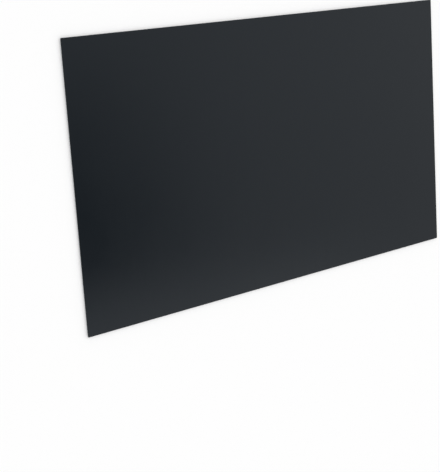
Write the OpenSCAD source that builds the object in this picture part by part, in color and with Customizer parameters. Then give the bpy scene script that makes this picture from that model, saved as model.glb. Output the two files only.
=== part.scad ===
// Monitor privacy filter: a thin stiff sheet of dark film, with the slim
// magnetic strip behind its top edge that holds it up in use.
//
// The part lies as it comes to rest, with the viewed face up. X runs along the
// sheet's width, Y towards its top edge and Z out of the viewed face. The
// origin is at the middle of the part's footprint, on the surface it lies on.
// All sizes are in millimetres.

/* [Filter sheet] */
// Width of the sheet
sheet_w = 527; // [150:0.5:1300]
// Height of the sheet, from its bottom edge to its top edge
sheet_h = 296; // [90:0.5:800]
// Thickness of the bonded film stack
sheet_t = 0.8; // [0.4:0.05:2]
// Radius of the sheet's four corners, seen from the front
sheet_corner_r = 1; // [0.5:0.1:15]
// Bevel along the cut edges, on both faces
sheet_bevel = 0.1; // [0.05:0.01:0.18]

/* [Strip placement] */
// Width of the keeper strip and of the magnet strip, down the sheet
strip_w = 4.5; // [3:0.25:20]
// Distance from the sheet's top edge to the strips
strip_top_inset = 1; // [0:0.25:20]
// Distance from each side of the sheet to the strips' ends
strip_end_inset = 1; // [0:0.25:40]

/* [Keeper strip] */
// Thickness of the steel band that is bonded to the back of the sheet
keeper_t = 0.3; // [0.1:0.05:1]
// Radius of the steel band's corners
keeper_corner_r = 0.6; // [0.2:0.1:1.4]

/* [Magnet strip] */
// Thickness of the flexible magnet
magnet_t = 1; // [0.5:0.1:3]
// Bevel along the magnet's front edges, on the side that meets the keeper strip
magnet_bevel = 0.3; // [0.1:0.05:0.45]

/* [Mounting tape] */
// Thickness of the foam tape behind the magnet
tape_t = 0.5; // [0.2:0.1:2]
// Distance that the tape stays back from the magnet's edges
tape_setback = 0.3; // [0:0.05:1]

/* [Hidden] */

$fn = 48;

// The stack, from the surface up: tape, magnet, keeper, sheet
tape_z = 0;
magnet_z = tape_z + tape_t;
keeper_z = magnet_z + magnet_t;
sheet_z = keeper_z + keeper_t;

// Length of the strips, and the line along their middle
strip_l = sheet_w - 2 * strip_end_inset;
strip_y = sheet_h / 2 - strip_top_inset - strip_w / 2;

// Section of a flat plate of width w and thickness t, with bevelled edges
module bevelled_section(w, t, bevel) {
    polygon([
        [-w / 2 + bevel, 0],
        [w / 2 - bevel, 0],
        [w / 2, bevel],
        [w / 2, t - bevel],
        [w / 2 - bevel, t],
        [-w / 2 + bevel, t],
        [-w / 2, t - bevel],
        [-w / 2, bevel]
    ]);
}

// Puck that rounds one corner of a bevelled plate
module bevelled_corner(r, t, bevel) {
    rotate_extrude()
        polygon([
            [0, 0],
            [r - bevel, 0],
            [r, bevel],
            [r, t - bevel],
            [r - bevel, t],
            [0, t]
        ]);
}

// Prism of a section drawn in Y and Z, running along X
module along_x(length) {
    translate([-length / 2, 0, 0])
        rotate([90, 0, 90])
            linear_extrude(length)
                children();
}

// Prism of a section drawn in X and Z, running along Y
module along_y(length) {
    translate([0, length / 2, 0])
        rotate([90, 0, 0])
            linear_extrude(length)
                children();
}

// Flat plate with rounded corners, and bevels on both faces
module bevelled_plate(w, h, t, r, bevel) {
    along_x(w - 2 * r) bevelled_section(h, t, bevel);
    along_y(h - 2 * r) bevelled_section(w, t, bevel);
    for (sx = [-1, 1], sy = [-1, 1])
        translate([sx * (w / 2 - r), sy * (h / 2 - r), 0])
            bevelled_corner(r, t, bevel);
}

// Rectangle with rounded corners
module rounded_rectangle(w, h, r) {
    square([w - 2 * r, h], center = true);
    square([w, h - 2 * r], center = true);
    for (sx = [-1, 1], sy = [-1, 1])
        translate([sx * (w / 2 - r), sy * (h / 2 - r)])
            circle(r);
}

// The filter itself: films bonded into one stiff dark sheet
module filter_sheet() {
    color([0.16, 0.17, 0.18])
        translate([0, 0, sheet_z])
            bevelled_plate(sheet_w, sheet_h, sheet_t, sheet_corner_r, sheet_bevel);
}

// Thin steel band on the back of the sheet, which the magnet pulls on
module keeper_strip() {
    color([0.1, 0.1, 0.1])
        translate([0, strip_y, keeper_z])
            linear_extrude(keeper_t)
                rounded_rectangle(strip_l, strip_w, keeper_corner_r);
}

// Flexible magnet that the sheet hangs from, with bevelled front edges
module magnet_strip() {
    color([0.24, 0.24, 0.25])
        translate([0, strip_y, magnet_z])
            along_x(strip_l)
                polygon([
                    [-strip_w / 2, 0],
                    [strip_w / 2, 0],
                    [strip_w / 2, magnet_t - magnet_bevel],
                    [strip_w / 2 - magnet_bevel, magnet_t],
                    [-strip_w / 2 + magnet_bevel, magnet_t],
                    [-strip_w / 2, magnet_t - magnet_bevel]
                ]);
}

// Double-sided foam tape that sticks the magnet in its place
module mounting_tape() {
    color([0.75, 0.75, 0.73])
        translate([-strip_l / 2 + tape_setback, strip_y - strip_w / 2 + tape_setback, tape_z])
            cube([strip_l - 2 * tape_setback, strip_w - 2 * tape_setback, tape_t]);
}

filter_sheet();
keeper_strip();
magnet_strip();
mounting_tape();
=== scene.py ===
import math

import bpy
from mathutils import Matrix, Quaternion, Vector


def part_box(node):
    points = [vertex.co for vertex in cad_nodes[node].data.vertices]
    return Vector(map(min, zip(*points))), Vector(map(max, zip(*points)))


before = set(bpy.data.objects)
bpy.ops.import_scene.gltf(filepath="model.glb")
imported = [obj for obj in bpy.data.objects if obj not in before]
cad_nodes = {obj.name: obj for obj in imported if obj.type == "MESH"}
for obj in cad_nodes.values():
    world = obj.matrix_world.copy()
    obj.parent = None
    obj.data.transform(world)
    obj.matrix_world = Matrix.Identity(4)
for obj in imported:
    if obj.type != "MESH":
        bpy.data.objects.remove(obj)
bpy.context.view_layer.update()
sheet_low, sheet_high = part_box("filter_sheet")

MM = 0.001

# Camera: the photo's frame and focal length in pixels, and the view of the sheet
PHOTO_W = 440
PHOTO_H = 472
FOCAL_PX = 1209
SENSOR_MM = 36
CAMERA_FROM_SHEET = Vector((-0.8792, 0.2049, 0.9881))
AIM_FROM_SHEET = Vector((-0.0870, -0.0779, 0))
CAMERA_ROLL_DEG = 101.37

# Light: the even level of the studio, and a wide sun beyond the sheet's top left corner
STUDIO_LEVEL = 0.85
SUN_LEVEL = 0.65
SUN_WIDTH_DEG = 30
SUN_PLACE = Vector((-0.9, 1.2, 1.9))

# Floor: half its side, its grey, and the glow that brings it to white for the camera
FLOOR_HALF = 40
FLOOR_GREY = 0.80
FLOOR_GLOW = 0.18

# Ceiling that the sheet mirrors: where its shading and each edge of its opening and its panel
# start and end, as shares of its height, across the sheet or up along it, and their levels
CEILING_SHADE = (-0.30, -0.07)
CEILING_LEVELS = (0.77, 0.93)
OPENING_LEFT = (-1.2, -0.6)
OPENING_RIGHT = (0.58, 0.835)
OPENING_BOTTOM = (-0.311, -0.285)
OPENING_TOP = (-0.268, -0.02)
OPENING_TRACE = 0.13
PANEL_RIGHT = (0.91, 1.10)
PANEL_BOTTOM = (-1.2, -0.8)
PANEL_TOP = (-0.354, -0.32)
PANEL_LEVEL = 0.47

# Least upward part of a ray's direction, so that level rays still meet the ceiling
LOWEST_RISE = 0.02


class Graph:
    """Adds shader nodes, with each input given as a constant or as another node's output."""

    def __init__(self, owner):
        owner.use_nodes = True
        self.tree = owner.node_tree
        self.tree.nodes.clear()

    def add(self, kind, inputs=None, **settings):
        node = self.tree.nodes.new(kind)
        for name, value in settings.items():
            setattr(node, name, value)
        for key, value in (inputs or {}).items():
            socket = node.inputs[key]
            if isinstance(value, bpy.types.NodeSocket):
                self.tree.links.new(value, socket)
            else:
                socket.default_value = value
        return node

    def math(self, operation, a, b=0.0):
        return self.add("ShaderNodeMath", {0: a, 1: b}, operation=operation).outputs[0]

    def product(self, first, *others):
        for other in others:
            first = self.math("MULTIPLY", first, other)
        return first

    def ramp(self, value, low, high, to_low=0.0, to_high=1.0, smooth=False):
        """Maps value from low..high to to_low..to_high, and holds it at the ends."""
        node = self.add(
            "ShaderNodeMapRange",
            {"Value": value, "From Min": low, "From Max": high, "To Min": to_low, "To Max": to_high},
            interpolation_type="SMOOTHSTEP" if smooth else "LINEAR",
        )
        return node.outputs["Result"]

    def spread(self, noise, low, high):
        """Maps the usual range of a noise, 0.3 to 0.7, to low..high."""
        return self.ramp(noise, 0.3, 0.7, low, high)

    def mix_value(self, factor, a, b):
        return self.add("ShaderNodeMix", {0: factor, 2: a, 3: b}, data_type="FLOAT").outputs[0]

    def mix_colour(self, factor, a, b):
        """Mixes two colours, each given as red, green and blue or as another node's output."""
        a, b = [(*colour, 1) if isinstance(colour, tuple) else colour for colour in (a, b)]
        return self.add("ShaderNodeMix", {0: factor, 6: a, 7: b}, data_type="RGBA").outputs[2]

    def noise(self, vector, size, detail=2.0, stretch=(1, 1, 1)):
        """Noise with features of about that size in metres, stretched along the axes."""
        scale = [1 / (size * s) for s in stretch]
        placed = self.add("ShaderNodeMapping", {"Vector": vector, "Scale": scale}).outputs[0]
        node = self.add("ShaderNodeTexNoise", {"Vector": placed, "Scale": 1.0, "Detail": detail})
        return node.outputs[0]

    def surface(self, colour, roughness, relief, depth, bump=0.5, gloss=None):
        """Ends a material. Relief shows as a bump, in which 1 stands for that depth in metres."""
        bumps = {"Height": relief, "Strength": bump, "Distance": depth}
        normal = self.add("ShaderNodeBump", bumps).outputs[0]
        inputs = {"Base Color": colour, "Roughness": roughness, "Normal": normal, **(gloss or {})}
        shader = self.add("ShaderNodeBsdfPrincipled", inputs)
        self.add("ShaderNodeOutputMaterial", {"Surface": shader.outputs[0]})


def dress(node_name, material):
    """Gives a CAD node its material."""
    for slot in cad_nodes[node_name].material_slots:
        slot.material = material


def film_material():
    """Dark louvred film under a satin hard coat, which is a little smoother behind."""
    material = bpy.data.materials.new("filter_film")
    g = Graph(material)
    coords = g.add("ShaderNodeTexCoord")
    place = coords.outputs["Object"]
    height = g.add("ShaderNodeSeparateXYZ", {0: place}).outputs["Z"]
    facing = g.add("ShaderNodeSeparateXYZ", {0: coords.outputs["Normal"]}).outputs["Z"]

    # The louvres run up the sheet, so their grain is long in Y and fine in X
    louvres = g.noise(place, 0.5 * MM, stretch=(1, 900, 40))
    grain = g.noise(place, 0.35 * MM, detail=1.0)
    haze = g.noise(place, 90 * MM, detail=3.0)

    face = g.mix_colour(louvres, (0.0030, 0.0052, 0.0078), (0.0052, 0.0082, 0.0110))
    tone = g.mix_colour(haze, (0.0035, 0.0060, 0.0086), (0.0047, 0.0074, 0.0102))
    face = g.mix_colour(0.5, face, tone)

    # On the cut edges the clear skins show paler than the louvred middle
    skin = 0.12 * MM
    below = g.ramp(height, sheet_low.z + skin, sheet_low.z + 1.5 * skin, 1, 0)
    above = g.ramp(height, sheet_high.z - 1.5 * skin, sheet_high.z - skin)
    in_skin = g.math("MAXIMUM", below, above)
    cut = g.mix_colour(in_skin, (0.008, 0.009, 0.010), (0.030, 0.034, 0.038))
    on_edge = g.ramp(g.math("ABSOLUTE", facing), 0.3, 0.8, 1, 0)
    colour = g.mix_colour(on_edge, face, cut)

    in_front = g.ramp(facing, -0.1, 0.1)
    coat = g.mix_value(in_front, 0.10, 0.12)
    coat = g.math("ADD", coat, g.spread(haze, -0.02, 0.02))
    coat = g.math("ADD", coat, g.spread(grain, -0.02, 0.03))
    roughness = g.mix_value(on_edge, coat, 0.5)

    relief = g.math("ADD", g.product(louvres, 0.85), g.product(grain, 0.15))
    gloss = {"Specular IOR Level": 0.3, "Specular Tint": (0.88, 0.93, 1.0, 1)}
    g.surface(colour, roughness, relief, 0.05 * MM, gloss=gloss)
    return material


def painted_steel_material():
    """Thin black paint on a rolled steel band."""
    material = bpy.data.materials.new("painted_steel")
    g = Graph(material)
    place = g.add("ShaderNodeTexCoord").outputs["Object"]
    peel = g.noise(place, 1.2 * MM)
    rolled = g.noise(place, 0.3 * MM, stretch=(60, 1, 1))
    colour = g.mix_colour(peel, (0.011, 0.011, 0.012), (0.020, 0.020, 0.021))
    relief = g.math("ADD", peel, g.product(rolled, 0.3))
    g.surface(colour, g.spread(rolled, 0.36, 0.48), relief, 0.02 * MM, bump=0.4)
    return material


def magnet_material():
    """Dark grey rubbery magnet, with the fine lines that extrusion leaves along it."""
    material = bpy.data.materials.new("flexible_magnet")
    g = Graph(material)
    place = g.add("ShaderNodeTexCoord").outputs["Object"]
    speckle = g.noise(place, 0.25 * MM, detail=3.0)
    drawn = g.noise(place, 0.2 * MM, stretch=(150, 1, 1))
    patch = g.noise(place, 14 * MM)
    colour = g.mix_colour(speckle, (0.022, 0.021, 0.024), (0.036, 0.035, 0.039))
    tone = g.mix_colour(patch, (0.026, 0.025, 0.028), (0.032, 0.031, 0.034))
    colour = g.mix_colour(0.5, colour, tone)
    relief = g.math("ADD", speckle, drawn)
    g.surface(colour, g.spread(speckle, 0.62, 0.78), relief, 0.03 * MM)
    return material


def foam_tape_material():
    """Pale foam with fine cells."""
    material = bpy.data.materials.new("foam_tape")
    g = Graph(material)
    place = g.add("ShaderNodeTexCoord").outputs["Object"]
    cell = 0.22 * MM
    cells = g.add("ShaderNodeTexVoronoi", {"Vector": place, "Scale": 1 / cell}).outputs["Distance"]
    patch = g.noise(place, 6 * MM)
    colour = g.mix_colour(g.ramp(cells, 0.1, 0.7), (0.46, 0.46, 0.43), (0.62, 0.62, 0.58))
    tone = g.mix_colour(patch, (0.50, 0.50, 0.47), (0.60, 0.60, 0.57))
    colour = g.mix_colour(0.4, colour, tone)
    g.surface(colour, g.spread(patch, 0.80, 0.92), cells, 0.04 * MM)
    return material


def add_floor():
    """Plain white floor on which the part lies.

    Only the camera sees it, and only from above, so the underside of the part shows in even light.
    """
    half = FLOOR_HALF
    mesh = bpy.data.meshes.new("floor")
    corners = [(-half, -half, 0), (half, -half, 0), (half, half, 0), (-half, half, 0)]
    mesh.from_pydata(corners, [], [(0, 1, 2, 3)])
    floor = bpy.data.objects.new("floor", mesh)
    bpy.context.scene.collection.objects.link(floor)
    material = bpy.data.materials.new("white_floor")
    g = Graph(material)
    ray = g.add("ShaderNodeLightPath")
    under = g.add("ShaderNodeNewGeometry").outputs["Backfacing"]
    paint = g.add("ShaderNodeBsdfDiffuse", {"Color": (FLOOR_GREY, FLOOR_GREY, FLOOR_GREY, 1)})
    lift = g.product(ray.outputs["Is Camera Ray"], FLOOR_GLOW)
    glow = g.add("ShaderNodeEmission", {"Color": (1, 1, 1, 1), "Strength": lift})
    lit = g.add("ShaderNodeAddShader", {0: paint.outputs[0], 1: glow.outputs[0]})
    clear = g.add("ShaderNodeBsdfTransparent")
    surface = g.add("ShaderNodeMixShader", {0: under, 1: lit.outputs[0], 2: clear.outputs[0]})
    g.add("ShaderNodeOutputMaterial", {"Surface": surface.outputs[0]})
    mesh.materials.append(material)
    floor.visible_diffuse = False
    floor.visible_glossy = False
    floor.visible_shadow = False


def add_world():
    """Soft white studio, in which the sheet mirrors a dark opening overhead and a bright panel below it."""
    world = bpy.data.worlds.new("studio")
    bpy.context.scene.world = world
    g = Graph(world)
    ray = g.add("ShaderNodeLightPath")
    direction = g.add("ShaderNodeSeparateXYZ", {0: g.add("ShaderNodeTexCoord").outputs["Generated"]})
    x, y, z = direction.outputs

    # Where a ray from the sheet meets a ceiling at unit height, across the sheet and up along it
    rise = g.math("MAXIMUM", z, LOWEST_RISE)
    across = g.math("DIVIDE", x, rise)
    along = g.math("DIVIDE", y, rise)

    # The opening has soft edges, and fades to a trace towards its top
    left = g.ramp(across, *OPENING_LEFT, smooth=True)
    right = g.ramp(across, *OPENING_RIGHT, 1, 0, smooth=True)
    bottom = g.ramp(along, *OPENING_BOTTOM, smooth=True)
    top = g.ramp(along, *OPENING_TOP, 1, OPENING_TRACE)
    opening = g.product(left, right, bottom, top)

    # The ceiling round it is a little darker towards the bottom
    ceiling = g.ramp(along, *CEILING_SHADE, *CEILING_LEVELS)
    ceiling = g.product(ceiling, g.math("SUBTRACT", 1, opening))

    # The panel lies below the opening, and ends softly on all but its left side
    panel_right = g.ramp(across, *PANEL_RIGHT, 1, 0, smooth=True)
    panel_bottom = g.ramp(along, *PANEL_BOTTOM, smooth=True)
    panel_top = g.ramp(along, *PANEL_TOP, 1, 0)
    panel = g.product(PANEL_LEVEL, panel_right, panel_bottom, panel_top)

    mirrored = g.math("ADD", ceiling, panel)
    strength = g.mix_value(ray.outputs["Is Glossy Ray"], STUDIO_LEVEL, mirrored)
    seen = g.math("MAXIMUM", ray.outputs["Is Camera Ray"], ray.outputs["Is Transmission Ray"])
    strength = g.mix_value(seen, strength, 1.0)
    background = g.add("ShaderNodeBackground", {"Color": (1, 1, 1, 1), "Strength": strength})
    g.add("ShaderNodeOutputWorld", {"Surface": background.outputs[0]})


def add_sun():
    """Wide soft light on the whole floor, aimed at the origin."""
    lamp = bpy.data.lights.new("key", "SUN")
    lamp.energy = SUN_LEVEL
    lamp.angle = math.radians(SUN_WIDTH_DEG)
    sun = bpy.data.objects.new("key", lamp)
    bpy.context.scene.collection.objects.link(sun)
    sun.location = SUN_PLACE
    sun.rotation_euler = (-SUN_PLACE).to_track_quat("-Z", "Y").to_euler()


def add_camera():
    """Camera at the photo's angle to the sheet, which stands upright in the frame."""
    face = Vector((0, 0, sheet_high.z))
    place = face + CAMERA_FROM_SHEET
    aim = face + AIM_FROM_SHEET
    data = bpy.data.cameras.new("camera")
    data.sensor_width = SENSOR_MM
    data.lens = FOCAL_PX / max(PHOTO_W, PHOTO_H) * SENSOR_MM
    camera = bpy.data.objects.new("camera", data)
    bpy.context.scene.collection.objects.link(camera)
    camera.location = place
    upright = (aim - place).to_track_quat("-Z", "Y")
    roll = Quaternion((0, 0, 1), math.radians(CAMERA_ROLL_DEG))
    camera.rotation_mode = "QUATERNION"
    camera.rotation_quaternion = upright @ roll
    bpy.context.scene.camera = camera


dress("filter_sheet", film_material())
dress("keeper_strip", painted_steel_material())
dress("magnet_strip", magnet_material())
dress("mounting_tape", foam_tape_material())
add_floor()
add_world()
add_sun()
add_camera()
bpy.context.scene.view_settings.view_transform = "Standard"
